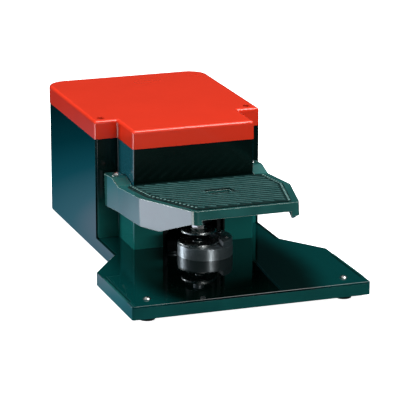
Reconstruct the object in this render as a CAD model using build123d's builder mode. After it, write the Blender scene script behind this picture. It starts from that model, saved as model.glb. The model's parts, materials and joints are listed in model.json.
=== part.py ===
"""Bench snap setting press: hinged press plate, swinging die arm, die pair, housing and base.

Millimetres, +Z up, the operator stands at -Y. The origin is on the table, under the middle of
the machine's outline. The plate and the arm are drawn in the pressed pose, where the plate is
level and the die faces are parallel, and are then swung up to the rest pose that is exported.
"""
from build123d import *
from math import asin, degrees
import os

os.makedirs("parts", exist_ok=True)

# ---------------------------------------------------------------- driving dimensions
FOOT_H = 6.0                 # rubber feet below the tray
SKIRT_H = 13.0               # visible height of the base
DECK_TOP = FOOT_H + SKIRT_H
DECK_T = 2.0
SHEET = 1.5                  # housing panels
TRAY_T = 2.0
EDGE_GAP = 1.4               # shadow gap beside the deck's side edges

REAR_Y = 206.8
FRONT_Y = -187.5
DECK_HALF = 117.75           # wide front part of the base
HOUSING_HALF = 85.8          # housing and the narrow rear part of the base
FLARE_REAR_Y = -28.5
FLARE_FRONT_Y = -75.5
TAB_REAR_Y = -95.0           # stretch where the tray's side wall stands beside the deck
TAB_FRONT_Y = -171.0

HOUSING_FRONT_Y = 30.5
NOSE_HALF = 62.2
NOSE_FRONT_Y = -19.0
HOUSING_TOP = 120.2
REAR_CORNER_R = 19.5
RETURN_X = 46.0              # inner edge of the side panels' rear flanges
THROAT_HALF = 32.0           # mouth in the front of the nose
THROAT_TOP = 74.0

COVER_Z = 120.5
COVER_TOP = 139.0
COVER_OVERHANG = 0.5
COVER_REAR_Y = REAR_Y + 0.7
COVER_WALL = 3.0
COVER_SCREW_XY = [(side * 76.5, 41) for side in (-1, 1)]
MIDDLE_Y = (COVER_REAR_Y + FRONT_Y) / 2   # drawn there, then moved onto the origin

DRUM_Y = -52.0
DRUM_R = 27.0
DRUM_TOP = 30.5
WORK_X = -6.5                # common axis of the two dies
WORK_Y = -51.5
LOWER_DIE_R = 20.0
LOWER_DIE_TOP = 33.0

PLATE_HINGE_Y = 14.0
PLATE_HINGE_Z = 74.0
PLATE_TRAVEL = 5.3           # degrees from rest down to level
PLATE_TOP = 81.0             # pressed pose
PLATE_T = 2.4
LUG_TOP = 87.6
SHAFT_R = 5.0
RUNNING = 0.05               # radial clearance of every running fit

ARM_PIVOT_Y = 150.0
ARM_PIVOT_Z = 57.0
ARM_HALF = 13.0
ARM_TOP = 62.0
ARM_BOTTOM = 44.0
HEAD_TOP = 66.0
HEAD_BOTTOM = 47.0
PIVOT_R = 8.0
ARM_TRAVEL = PLATE_TRAVEL * (PLATE_HINGE_Y - WORK_Y) / (ARM_PIVOT_Y - WORK_Y)

FRAME_IN = 26.0              # inner faces of the two frame plates
FRAME_T = 4.0
FRAME_OUT = FRAME_IN + FRAME_T
SOLE_TOP = DECK_TOP - DECK_T
SOLE_BOTTOM = FOOT_H + TRAY_T

ROLLER_R = 5.0
ROLLER_HALF = 5.0
ROLLER_PIN_R = 2.0
ROLLER_Z = HEAD_TOP + 0.3 + ROLLER_R

FRONT_FOOT = (97.8, -168.8)
REAR_FOOT = (66.0, 186.0)
SPRING_Y = 45.0

SIDES = (-1, 1)
plate_axis = Axis((0, PLATE_HINGE_Y, PLATE_HINGE_Z), (1, 0, 0))
arm_axis = Axis((0, ARM_PIVOT_Y, ARM_PIVOT_Z), (1, 0, 0))


# ---------------------------------------------------------------- helpers
def save(builder, name):
    """Bring one finished piece to the origin, label it and write its STEP file."""
    piece = builder.part.moved(Location((0, -MIDDLE_Y, 0)))
    piece.label = name
    export_step(piece, f"parts/{name}.step")


def save_plate_piece(builder, name):
    """Swing a piece of the press plate from the pressed pose up to rest, then write it."""
    builder.part = builder.part.rotate(plate_axis, -PLATE_TRAVEL)
    save(builder, name)


def save_arm_piece(builder, name):
    """Swing a piece of the die arm from the pressed pose up to rest, then write it."""
    builder.part = builder.part.rotate(arm_axis, -ARM_TRAVEL)
    save(builder, name)


def side_plane(x):
    """Vertical plane facing +X: its x is the machine's Y and its y is Z."""
    return Plane(origin=(x, 0, 0), x_dir=(0, 1, 0), z_dir=(1, 0, 0))


def front_plane(y):
    """Vertical plane facing -Y: its x is the machine's X and its y is Z."""
    return Plane(origin=(0, y, 0), x_dir=(1, 0, 0), z_dir=(0, -1, 0))


def mirrored_outline(right, radii):
    """Closed outline from its right half, listed from the rear forwards, with corner radii."""
    left = [(-x, y) for x, y in reversed(right)]
    with BuildLine() as outline:
        FilletPolyline(*right, *left, radius=[*radii, *reversed(radii)], close=True)
    make_face(outline.edges())


def tray_outline(inset=0.0):
    """Plan of the tray: narrow between the side panels, flared to a wide front."""
    mirrored_outline(
        [
            (HOUSING_HALF - SHEET - 0.1 - inset, REAR_Y - 4 - inset),
            (HOUSING_HALF - SHEET - 0.1 - inset, FLARE_REAR_Y - 0.4 * inset),
            (DECK_HALF - inset, FLARE_FRONT_Y - 0.4 * inset),
            (DECK_HALF - inset, FRONT_Y + inset),
        ],
        [18 - inset, 0, 2, 2],
    )


def deck_outline():
    """Plan of the deck: it stops short of the side walls and shows a gap beside them."""
    narrow = HOUSING_HALF - SHEET - EDGE_GAP
    notch = DECK_HALF - TRAY_T - EDGE_GAP
    mirrored_outline(
        [
            (narrow, REAR_Y - 4), (narrow, FLARE_REAR_Y - 0.4), (HOUSING_HALF, FLARE_REAR_Y - 0.4),
            (DECK_HALF, FLARE_FRONT_Y), (DECK_HALF, TAB_REAR_Y + 0.3), (notch, TAB_REAR_Y + 0.3),
            (notch, TAB_FRONT_Y - 0.3), (DECK_HALF, TAB_FRONT_Y - 0.3), (DECK_HALF, FRONT_Y),
        ],
        [17, 0, 0, 2, 0, 0, 0, 0, 2],
    )


def cover_outline(inset=0.0):
    """T-shaped plan of the cover: the main block and the narrower nose."""
    main = HOUSING_HALF + COVER_OVERHANG - inset
    nose = NOSE_HALF + COVER_OVERHANG - inset
    mirrored_outline(
        [
            (main, COVER_REAR_Y - inset), (main, HOUSING_FRONT_Y - COVER_OVERHANG + inset),
            (nose, HOUSING_FRONT_Y - COVER_OVERHANG + inset),
            (nose, NOSE_FRONT_Y - COVER_OVERHANG + inset),
        ],
        [REAR_CORNER_R + COVER_OVERHANG - inset, 2, 1, 2],
    )


def screw(seat, shank_r, length, head_r, head_h, domed=False, towards=(0, 0, 1)):
    """Screw or rivet in the part being built: seat is under its head, which lies towards."""
    rim = head_h * 0.2 if domed else head_h
    with BuildLine() as outline:
        Polyline((0, -length), (shank_r, -length), (shank_r, 0), (head_r, 0), (head_r, rim))
        if domed:
            rise = head_h - rim
            dome_r = (head_r**2 + rise**2) / (2 * rise)
            low = degrees(asin((dome_r - rise) / dome_r))
            CenterArc((0, head_h - dome_r), dome_r, start_angle=low, arc_size=90 - low)
        else:
            Line((head_r, rim), (0, rim))
        Line((0, head_h), (0, -length))
    across = Vector(1, 0, 0)
    with BuildSketch(Plane(origin=seat, x_dir=across, z_dir=across.cross(Vector(towards)))) as profile:
        make_face(outline.edges())
    revolve(profile.sketch, axis=Axis(seat, towards))


def cross_recess(seat, head_h, arm, towards=(0, 0, 1)):
    """Cross slot in the top of a domed head that stands on seat and faces towards."""
    top = Vector(seat) + Vector(towards) * head_h
    with BuildSketch(Plane(origin=top, x_dir=(1, 0, 0), z_dir=towards)) as cross:
        Rectangle(2 * arm, arm * 0.42)
        Rectangle(arm * 0.42, 2 * arm)
    extrude(cross.sketch, amount=-0.5 * head_h, mode=Mode.SUBTRACT)


def rod(x0, x1, y, z, radius):
    """Solid round bar along X in the part being built."""
    with BuildSketch(side_plane(x0)) as section:
        with Locations((y, z)):
            Circle(radius)
    extrude(section.sketch, amount=x1 - x0)


def tube(x0, x1, y, z, outer_r, inner_r):
    """Ring along X in the part being built."""
    with BuildSketch(side_plane(x0)) as section:
        with Locations((y, z)):
            Circle(outer_r)
            Circle(inner_r, mode=Mode.SUBTRACT)
    extrude(section.sketch, amount=x1 - x0)


# ================================================================ base
with BuildPart() as base_tray:
    with BuildSketch(Plane.XY.offset(FOOT_H)):
        tray_outline()
    extrude(amount=SOLE_TOP - FOOT_H)
    with BuildSketch(Plane.XY.offset(FOOT_H + TRAY_T)):
        tray_outline(TRAY_T)
    extrude(amount=SOLE_TOP - FOOT_H, mode=Mode.SUBTRACT)
    for side in SIDES:
        with BuildSketch(Plane.XY.offset(SOLE_TOP)):
            with Locations((side * (DECK_HALF - TRAY_T / 2), (TAB_REAR_Y + TAB_FRONT_Y) / 2)):
                Rectangle(TRAY_T, TAB_REAR_Y - TAB_FRONT_Y)
        extrude(amount=DECK_T)
    with BuildSketch(Plane.XY.offset(FOOT_H)):
        for side in SIDES:
            with Locations((side * FRONT_FOOT[0], FRONT_FOOT[1]), (side * REAR_FOOT[0], REAR_FOOT[1])):
                Circle(2.2)
        with Locations((0, DRUM_Y)):
            Circle(8)
    extrude(amount=TRAY_T, mode=Mode.SUBTRACT)
save(base_tray, "base_tray")

BASE_BOLTS = [(side * 42, y) for side in SIDES for y in (0, 70, 140)]

with BuildPart() as frame_sole:
    with BuildSketch(Plane.XY.offset(SOLE_BOTTOM)):
        with Locations((0, 45)):
            RectangleRounded(104, 260, 4)
        with Locations(*BASE_BOLTS):
            Circle(3, mode=Mode.SUBTRACT)
        with Locations((0, DRUM_Y)):
            Circle(4.2, mode=Mode.SUBTRACT)
        with Locations((16, DRUM_Y)):
            Circle(2, mode=Mode.SUBTRACT)
    extrude(amount=SOLE_TOP - SOLE_BOTTOM)
    with BuildSketch(Plane.XY.offset(SOLE_BOTTOM)):
        with Locations((0, DRUM_Y)):
            Circle(7)
    extrude(amount=5, mode=Mode.SUBTRACT)
save(frame_sole, "frame_sole")

with BuildPart() as deck_plate:
    with BuildSketch(Plane.XY.offset(SOLE_TOP)):
        deck_outline()
        with Locations(*[(side * FRONT_FOOT[0], FRONT_FOOT[1]) for side in SIDES]):
            Circle(2.2, mode=Mode.SUBTRACT)
        with Locations(*BASE_BOLTS):
            Circle(3.2, mode=Mode.SUBTRACT)
        with Locations((0, DRUM_Y)):
            Circle(4.2, mode=Mode.SUBTRACT)
        with Locations((16, DRUM_Y)):
            Circle(2.1, mode=Mode.SUBTRACT)
    extrude(amount=DECK_T)
    outer_edges = deck_plate.edges().group_by(Axis.Z)[-1].filter_by(GeomType.LINE)
    fillet(outer_edges.filter_by(lambda e: e.length > 40), 0.9)
save(deck_plate, "deck_plate")

with BuildPart() as rubber_feet:
    for side in SIDES:
        for x, y in (FRONT_FOOT, REAR_FOOT):
            with BuildSketch(Plane((side * x, y, 0))):
                Circle(7.6)
            with BuildSketch(Plane((side * x, y, FOOT_H))):
                Circle(8.6)
            loft()
            with BuildSketch(Plane((side * x, y, 0))):
                Circle(5)
            extrude(amount=2.5, mode=Mode.SUBTRACT)
            with BuildSketch(Plane((side * x, y, 2.5))):
                Circle(2)
            extrude(amount=FOOT_H, mode=Mode.SUBTRACT)
save(rubber_feet, "rubber_feet")

with BuildPart() as deck_screws:
    for side in SIDES:
        seat = (side * FRONT_FOOT[0], FRONT_FOOT[1], DECK_TOP)
        screw(seat, 2, DECK_TOP - 1.5, 3.8, 2.4, domed=True)
        cross_recess(seat, 2.4, 2.0)
save(deck_screws, "deck_screws")

with BuildPart() as foot_nuts:
    for side in SIDES:
        with BuildSketch(Plane((side * FRONT_FOOT[0], FRONT_FOOT[1], 0.8))):
            RegularPolygon(3.6, 6)
            Circle(2, mode=Mode.SUBTRACT)
        extrude(amount=1.7)
save(foot_nuts, "foot_nuts")

with BuildPart() as foot_sleeves:
    for side in SIDES:
        with BuildSketch(Plane((side * FRONT_FOOT[0], FRONT_FOOT[1], FOOT_H + TRAY_T))):
            Circle(4)
            Circle(2.2, mode=Mode.SUBTRACT)
        extrude(amount=SOLE_TOP - FOOT_H - TRAY_T)
save(foot_sleeves, "foot_sleeves")

with BuildPart() as rear_foot_screws:
    for side in SIDES:
        with BuildSketch(Plane((side * REAR_FOOT[0], REAR_FOOT[1], 1.0))):
            Circle(3.8)
        extrude(amount=1.5)
        with BuildSketch(Plane((side * REAR_FOOT[0], REAR_FOOT[1], 2.5))):
            Circle(2)
        extrude(amount=9)
save(rear_foot_screws, "rear_foot_screws")

with BuildPart() as rear_foot_nuts:
    for side in SIDES:
        with BuildSketch(Plane((side * REAR_FOOT[0], REAR_FOOT[1], FOOT_H + TRAY_T))):
            RegularPolygon(4, 6)
            Circle(2, mode=Mode.SUBTRACT)
        extrude(amount=3)
save(rear_foot_nuts, "rear_foot_nuts")

# ================================================================ inner frame
FRAME_BOLT_YZ = [(-4, 104), (84, 104), (162, 34)]
STOP_BAR_YZ = (62, 83)

for side, side_name in zip(SIDES, ("left", "right")):
    with BuildPart() as frame_plate:
        with BuildSketch(side_plane(min(side * FRAME_IN, side * FRAME_OUT))):
            with BuildLine():
                FilletPolyline(
                    (-14, DECK_TOP), (172, DECK_TOP), (172, 78), (118, 114), (-14, 114),
                    radius=[0, 0, 12, 8, 8], close=True,
                )
            make_face()
            with Locations((PLATE_HINGE_Y, PLATE_HINGE_Z)):
                Circle(SHAFT_R, mode=Mode.SUBTRACT)
            with Locations((ARM_PIVOT_Y, ARM_PIVOT_Z)):
                Circle(PIVOT_R, mode=Mode.SUBTRACT)
            with Locations(*FRAME_BOLT_YZ, STOP_BAR_YZ, (35, 31), (105, 31)):
                Circle(3.1, mode=Mode.SUBTRACT)
            with Locations((100, 72)):
                RectangleRounded(44, 30, 8, mode=Mode.SUBTRACT)
        extrude(amount=FRAME_T)
    save(frame_plate, f"frame_plate_{side_name}")

with BuildPart() as frame_angles:
    for side in SIDES:
        with BuildSketch(front_plane(150)):
            with BuildLine():
                Polyline(
                    (side * FRAME_OUT, DECK_TOP), (side * 52, DECK_TOP), (side * 52, DECK_TOP + 3),
                    (side * (FRAME_OUT + 3), DECK_TOP + 3), (side * (FRAME_OUT + 3), 39),
                    (side * FRAME_OUT, 39), close=True,
                )
            make_face()
        extrude(amount=160)
    with BuildSketch(Plane.XY.offset(DECK_TOP)):
        with Locations(*BASE_BOLTS):
            Circle(3.2)
    extrude(amount=3, mode=Mode.SUBTRACT)
    for y in (35, 105):
        with BuildSketch(side_plane(-FRAME_OUT - 3)):
            with Locations((y, 31)):
                Circle(3.1)
        extrude(amount=2 * FRAME_OUT + 6, mode=Mode.SUBTRACT)
save(frame_angles, "frame_angles")

with BuildPart() as frame_base_bolts:
    for x, y in BASE_BOLTS:
        screw((x, y, DECK_TOP + 3), 3, DECK_TOP + 2 - SOLE_BOTTOM, 5, 5)
        with BuildSketch(Plane((x, y, DECK_TOP + 5.5))):
            RegularPolygon(2.9, 6)
        extrude(amount=3, mode=Mode.SUBTRACT)
save(frame_base_bolts, "frame_base_bolts")

with BuildPart() as frame_side_bolts:
    for y in (35, 105):
        rod(-FRAME_OUT - 3, -FRAME_IN - 0.5, y, 31, 3)
        rod(-FRAME_OUT - 7, -FRAME_OUT - 3, y, 31, 5)
        rod(FRAME_IN + 0.5, FRAME_OUT + 3, y, 31, 3)
        rod(FRAME_OUT + 3, FRAME_OUT + 7, y, 31, 5)
save(frame_side_bolts, "frame_side_bolts")

with BuildPart() as frame_spacers:
    for y, z in FRAME_BOLT_YZ:
        rod(-FRAME_IN, FRAME_IN, y, z, 7)
    with BuildSketch(side_plane(-FRAME_IN)):
        with Locations(STOP_BAR_YZ):
            Rectangle(16, 12)
    extrude(amount=2 * FRAME_IN)
    with BuildSketch(side_plane(-FRAME_IN)):
        with Locations(*FRAME_BOLT_YZ, STOP_BAR_YZ):
            Circle(3)
    extrude(amount=14, mode=Mode.SUBTRACT)
    with BuildSketch(side_plane(FRAME_IN)):
        with Locations(*FRAME_BOLT_YZ, STOP_BAR_YZ):
            Circle(3)
    extrude(amount=-14, mode=Mode.SUBTRACT)
    with BuildSketch(Plane.XY.offset(STOP_BAR_YZ[1] - 8)):
        with Locations((0, STOP_BAR_YZ[0])):
            Circle(3)
    extrude(amount=16, mode=Mode.SUBTRACT)
save(frame_spacers, "frame_spacers")

with BuildPart() as spacer_bolts:
    for y, z in [*FRAME_BOLT_YZ, STOP_BAR_YZ]:
        rod(-FRAME_OUT - 4, -FRAME_OUT, y, z, 5)
        rod(-FRAME_OUT, -FRAME_IN + 12, y, z, 3)
        rod(FRAME_OUT, FRAME_OUT + 4, y, z, 5)
        rod(FRAME_IN - 12, FRAME_OUT, y, z, 3)
save(spacer_bolts, "spacer_bolts")

with BuildPart() as stop_screw:
    with BuildSketch(Plane((0, STOP_BAR_YZ[0], 72.3))):
        Circle(3)
    extrude(amount=26.7)
    with BuildSketch(Plane((0, STOP_BAR_YZ[0], 70.8))):
        Circle(6.5)
    extrude(amount=1.5)
save(stop_screw, "stop_screw")

with BuildPart() as stop_nut:
    with BuildSketch(Plane((0, STOP_BAR_YZ[0], STOP_BAR_YZ[1] + 6))):
        RegularPolygon(5.8, 6)
        Circle(3, mode=Mode.SUBTRACT)
    extrude(amount=5)
    chamfer(stop_nut.edges().group_by(Axis.Z)[-1].filter_by(GeomType.LINE), 0.6)
save(stop_nut, "stop_nut")

with BuildPart() as stop_bumper:
    with BuildSketch(Plane((0, STOP_BAR_YZ[0], 66.3))):
        Circle(7)
    extrude(amount=4.5)
    fillet(stop_bumper.edges().group_by(Axis.Z)[0], 1)
save(stop_bumper, "stop_bumper")

with BuildPart() as throat_guard:
    with BuildSketch(front_plane(29)):
        with Locations((0, 29.5)):
            Rectangle(2 * FRAME_IN - 0.4, 21)
    extrude(amount=SHEET)
    with BuildSketch(Plane.XY.offset(DECK_TOP)):
        with Locations((0, 23)):
            Rectangle(2 * FRAME_IN - 0.4, 12)
    extrude(amount=SHEET)
save(throat_guard, "throat_guard")

# ================================================================ lower die on the deck
with BuildPart() as die_drum:
    with BuildSketch(Plane.XY.offset(DECK_TOP)):
        with Locations((0, DRUM_Y)):
            Circle(DRUM_R)
    extrude(amount=DRUM_TOP - DECK_TOP)
    fillet(die_drum.edges().group_by(Axis.Z)[-1], 0.8)
    with BuildSketch(Plane.XY.offset(DECK_TOP)):
        with Locations((0, DRUM_Y)):
            Circle(4)
        with Locations((16, DRUM_Y)):
            Circle(2)
    extrude(amount=5, mode=Mode.SUBTRACT)
    with BuildSketch(Plane.XY.offset(DRUM_TOP)):
        with Locations((WORK_X, WORK_Y)):
            Circle(6)
    extrude(amount=-5.5, mode=Mode.SUBTRACT)
save(die_drum, "die_drum")

with BuildPart() as drum_bolt:
    with BuildSketch(Plane((0, DRUM_Y, SOLE_BOTTOM + 5))):
        Circle(4)
    extrude(amount=10.5)
    with BuildSketch(Plane((0, DRUM_Y, SOLE_BOTTOM + 5))):
        Circle(6.5)
    extrude(amount=-5)
    with BuildSketch(Plane((0, DRUM_Y, SOLE_BOTTOM))):
        RegularPolygon(3.4, 6)
    extrude(amount=3, mode=Mode.SUBTRACT)
save(drum_bolt, "drum_bolt")

with BuildPart() as drum_dowel:
    with BuildSketch(Plane((16, DRUM_Y, SOLE_BOTTOM + 1))):
        Circle(2)
    extrude(amount=14)
save(drum_dowel, "drum_dowel")

with BuildPart() as lower_die:
    with BuildSketch(Plane((WORK_X, WORK_Y, DRUM_TOP - 5))):
        Circle(6)
    extrude(amount=5)
    with BuildSketch(Plane((WORK_X, WORK_Y, DRUM_TOP))):
        Circle(LOWER_DIE_R)
    extrude(amount=LOWER_DIE_TOP - DRUM_TOP)
    fillet(lower_die.edges().group_by(Axis.Z)[-1], 1.0)
    with BuildSketch(Plane((WORK_X, WORK_Y, LOWER_DIE_TOP))):
        Circle(6.5)
    extrude(amount=0.4)
    with BuildSketch(Plane((WORK_X, WORK_Y, LOWER_DIE_TOP + 0.4))):
        Circle(4.6)
    extrude(amount=-1.9, mode=Mode.SUBTRACT)
save(lower_die, "lower_die")

CLAMP_TOP = 36.2
CLAMP_SCREWS = [(19.2, DRUM_Y + 9), (19.2, DRUM_Y - 9)]

with BuildPart() as die_clamp:
    with BuildSketch(Plane.XY.offset(DRUM_TOP)):
        with Locations((0, DRUM_Y)):
            Circle(DRUM_R - 0.3)
        with Locations((WORK_X, WORK_Y)):
            Circle(LOWER_DIE_R + 0.2, mode=Mode.SUBTRACT)
        with Locations((10 - DRUM_R, DRUM_Y)):
            Rectangle(2 * DRUM_R, 3 * DRUM_R, mode=Mode.SUBTRACT)
    extrude(amount=CLAMP_TOP - DRUM_TOP)
    with BuildSketch(Plane.XY.offset(DRUM_TOP)):
        with Locations(*CLAMP_SCREWS):
            Circle(1.6)
    extrude(amount=CLAMP_TOP - DRUM_TOP, mode=Mode.SUBTRACT)
    chamfer(die_clamp.edges().group_by(Axis.Z)[-1].filter_by(lambda e: e.length > 15), 0.7)
save(die_clamp, "die_clamp")

with BuildPart() as clamp_screws:
    for x, y in CLAMP_SCREWS:
        screw((x, y, CLAMP_TOP), 1.5, CLAMP_TOP - DRUM_TOP, 2.7, 1.8, domed=True)
        cross_recess((x, y, CLAMP_TOP), 1.8, 1.4)
save(clamp_screws, "clamp_screws")

# ================================================================ hinge shaft and arm pivot
with BuildPart() as hinge_shaft:
    rod(-75.2, 75.2, PLATE_HINGE_Y, PLATE_HINGE_Z, SHAFT_R)
    chamfer(hinge_shaft.edges().filter_by(GeomType.CIRCLE), 0.6)
save(hinge_shaft, "hinge_shaft")

with BuildPart() as shaft_collars:
    for x in (-FRAME_OUT - 10, FRAME_OUT + 0.2):
        tube(x, x + 9.8, PLATE_HINGE_Y, PLATE_HINGE_Z, 10, SHAFT_R)
save(shaft_collars, "shaft_collars")

with BuildPart() as hinge_washers:
    for x in (-NOSE_HALF - 1.9, NOSE_HALF + 0.3):
        tube(x, x + 1.6, PLATE_HINGE_Y, PLATE_HINGE_Z, 9, SHAFT_R)
save(hinge_washers, "hinge_washers")

with BuildPart() as arm_pivot_shaft:
    rod(-FRAME_OUT - 5, FRAME_OUT + 5, ARM_PIVOT_Y, ARM_PIVOT_Z, PIVOT_R)
    chamfer(arm_pivot_shaft.edges().filter_by(GeomType.CIRCLE), 0.8)
save(arm_pivot_shaft, "arm_pivot_shaft")

with BuildPart() as pivot_clips:
    for x in (-FRAME_OUT - 1.6, FRAME_OUT + 0.2):
        with BuildSketch(side_plane(x)):
            with Locations((ARM_PIVOT_Y, ARM_PIVOT_Z)):
                Circle(11)
                Circle(PIVOT_R, mode=Mode.SUBTRACT)
            with Locations((ARM_PIVOT_Y, ARM_PIVOT_Z - 10)):
                Rectangle(9, 12, mode=Mode.SUBTRACT)
        extrude(amount=1.4)
save(pivot_clips, "pivot_clips")

with BuildPart() as pivot_spacers:
    for x in (-FRAME_IN, ARM_HALF + 0.4):
        tube(x, x + FRAME_IN - ARM_HALF - 0.4, ARM_PIVOT_Y, ARM_PIVOT_Z, 13, PIVOT_R)
save(pivot_spacers, "pivot_spacers")

# ================================================================ die arm, drawn pressed
with BuildPart() as die_arm:
    with BuildSketch(side_plane(-ARM_HALF)):
        with BuildLine():
            FilletPolyline(
                (WORK_Y + 8, HEAD_BOTTOM), (-26, ARM_BOTTOM), (118, ARM_BOTTOM), (ARM_PIVOT_Y, 41),
                (ARM_PIVOT_Y, 73), (118, ARM_TOP + 2), (-18, ARM_TOP), (-30, HEAD_TOP),
                (WORK_Y + 8, HEAD_TOP),
                radius=[0, 10, 20, 0, 0, 20, 6, 6, 0], close=True,
            )
        make_face()
        with Locations((ARM_PIVOT_Y, ARM_PIVOT_Z)):
            Circle(16)
            Circle(10, mode=Mode.SUBTRACT)
    extrude(amount=2 * ARM_HALF)
    with BuildSketch(Plane((WORK_X, WORK_Y, HEAD_BOTTOM))):
        Circle(13)
    extrude(amount=HEAD_TOP - HEAD_BOTTOM)
    with BuildSketch(Plane((WORK_X, WORK_Y, HEAD_BOTTOM))):
        Circle(5.5)
    extrude(amount=14, mode=Mode.SUBTRACT)
    with BuildSketch(Plane(origin=(WORK_X, WORK_Y, 54), x_dir=(1, 0, 0), z_dir=(0, -1, 0))):
        Circle(2.5)
    extrude(amount=16, mode=Mode.SUBTRACT)
    with BuildSketch(Plane((0, SPRING_Y, ARM_BOTTOM))):
        Circle(3)
    extrude(amount=10, mode=Mode.SUBTRACT)
save_arm_piece(die_arm, "die_arm")

with BuildPart() as arm_bushes:
    for x in (-ARM_HALF, 2):
        tube(x, x + 11, ARM_PIVOT_Y, ARM_PIVOT_Z, 10, PIVOT_R + RUNNING)
save_arm_piece(arm_bushes, "arm_bushes")

with BuildPart() as die_stem:
    with BuildSketch(Plane((WORK_X, WORK_Y, 38.6))):
        Circle(3)
    extrude(amount=22)
    with BuildSketch(Plane((WORK_X, WORK_Y, 43.2))):
        Circle(5.5)
    extrude(amount=17.6)
save_arm_piece(die_stem, "die_stem")

with BuildPart() as stem_grub_screw:
    with BuildSketch(Plane(origin=(WORK_X, WORK_Y - 5.5, 54), x_dir=(1, 0, 0), z_dir=(0, -1, 0))):
        Circle(2.5)
    extrude(amount=8)
    with BuildSketch(Plane(origin=(WORK_X, WORK_Y - 13.5, 54), x_dir=(1, 0, 0), z_dir=(0, -1, 0))):
        RegularPolygon(1.4, 6)
    extrude(amount=-3, mode=Mode.SUBTRACT)
save_arm_piece(stem_grub_screw, "stem_grub_screw")

with BuildPart() as die_lock_nut:
    with BuildSketch(Plane((WORK_X, WORK_Y, 39.7))):
        RegularPolygon(6.8, 6)
        Circle(3, mode=Mode.SUBTRACT)
    extrude(amount=3.5)
    chamfer(die_lock_nut.edges().group_by(Axis.Z)[-1].filter_by(GeomType.LINE), 0.5)
save_arm_piece(die_lock_nut, "die_lock_nut")

with BuildPart() as upper_die:
    with BuildSketch(front_plane(WORK_Y)):
        with BuildLine():
            FilletPolyline(
                (WORK_X, 32.6), (WORK_X + 3.2, 32.6), (WORK_X + 3.8, 34.4), (WORK_X + 11, 34.9),
                (WORK_X + 17.3, 35.4), (WORK_X + 17.3, 38.6), (WORK_X + 8, 38.6),
                (WORK_X + 7.4, 39.7), (WORK_X, 39.7),
                radius=[0, 1, 1, 0, 1.4, 1.5, 0.5, 0.3, 0], close=True,
            )
        make_face()
    revolve(axis=Axis((WORK_X, WORK_Y, 0), (0, 0, 1)))
    with BuildSketch(Plane((WORK_X, WORK_Y, 39.7))):
        Circle(3)
    extrude(amount=-1.1, mode=Mode.SUBTRACT)
save_arm_piece(upper_die, "upper_die")

with BuildPart() as spring_cap:
    with BuildSketch(Plane((0, SPRING_Y, ARM_BOTTOM))):
        Circle(10.5)
    extrude(amount=-2)
    with BuildSketch(Plane((0, SPRING_Y, ARM_BOTTOM - 2))):
        Circle(6)
    extrude(amount=-5)
    with BuildSketch(Plane((0, SPRING_Y, ARM_BOTTOM))):
        Circle(3)
    extrude(amount=9)
save_arm_piece(spring_cap, "spring_cap")

# ================================================================ return spring
with BuildPart() as spring_cup:
    with BuildSketch(Plane((0, SPRING_Y, DECK_TOP))):
        Circle(13)
    extrude(amount=6)
    with BuildSketch(Plane((0, SPRING_Y, DECK_TOP + 2))):
        Circle(10.5)
    extrude(amount=6, mode=Mode.SUBTRACT)
save(spring_cup, "spring_cup")

SPRING_BOTTOM = DECK_TOP + 2
SPRING_TOP = 44.9
SPRING_WIRE_R = 1.1
SPRING_R = 8.6
SPRING_TURNS = 5.5

with BuildPart() as return_spring:
    coil_h = SPRING_TOP - SPRING_BOTTOM - 2 * SPRING_WIRE_R
    coil_z = SPRING_BOTTOM + SPRING_WIRE_R + 0.05
    with BuildLine() as coil:
        Helix(pitch=coil_h / SPRING_TURNS, height=coil_h, radius=SPRING_R, center=(0, SPRING_Y, coil_z))
    with BuildSketch(Plane(coil.line @ 0, z_dir=coil.line % 0)):
        Circle(SPRING_WIRE_R)
    sweep(is_frenet=True)
save(return_spring, "return_spring")

# ================================================================ press plate, drawn pressed
PLATE_EDGE = [(79.6, 27), (77.9, NOSE_FRONT_Y), (76.8, -83), (52.1, -170.4)]
ARM_INNER = NOSE_HALF + 1.2
PLATE_BACK_Y = NOSE_FRONT_Y - 2
WINDOW = (2.0, -90.5)
WINDOW_SIZE = (25, 21)
RIVETS = [(WORK_X - 8, WORK_Y - 12), (WORK_X + 8, WORK_Y - 12)]


def plate_side_profile(drop):
    """Side view of the plate's body, its top lowered by drop and its lower edge by far more."""
    skirt = 0 if drop == 0 else 60
    with BuildLine() as profile:
        FilletPolyline(
            (28, LUG_TOP - drop), (-1, LUG_TOP - drop), (NOSE_FRONT_Y, PLATE_TOP - drop),
            (-180, PLATE_TOP - drop), (-180, 66 - skirt), (-166, 68.5 - skirt), (-114, 53.8 - skirt),
            (-67, 54.2 - skirt), (-16, 56.2 - skirt), (21, 56.2 - skirt), (28, 61 - skirt),
            radius=[0, 8, 14, 0, 0, 4, 10, 40, 0, 4, 0], close=True,
        )
    make_face(profile.edges())


with BuildPart() as plate_hollow:
    with BuildSketch(Plane.XY):
        inside = [(x - PLATE_T, y) for x, y in PLATE_EDGE]
        inside[0] = (PLATE_EDGE[0][0] - PLATE_T, PLATE_EDGE[0][1] - PLATE_T)
        inside[-1] = (PLATE_EDGE[-1][0] - PLATE_T, PLATE_EDGE[-1][1] + PLATE_T)
        mirrored_outline(inside, [4.6, 10, 12, 4])
    extrude(amount=95)
    with BuildSketch(side_plane(-100)):
        plate_side_profile(PLATE_T)
    extrude(amount=200, mode=Mode.INTERSECT)

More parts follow.
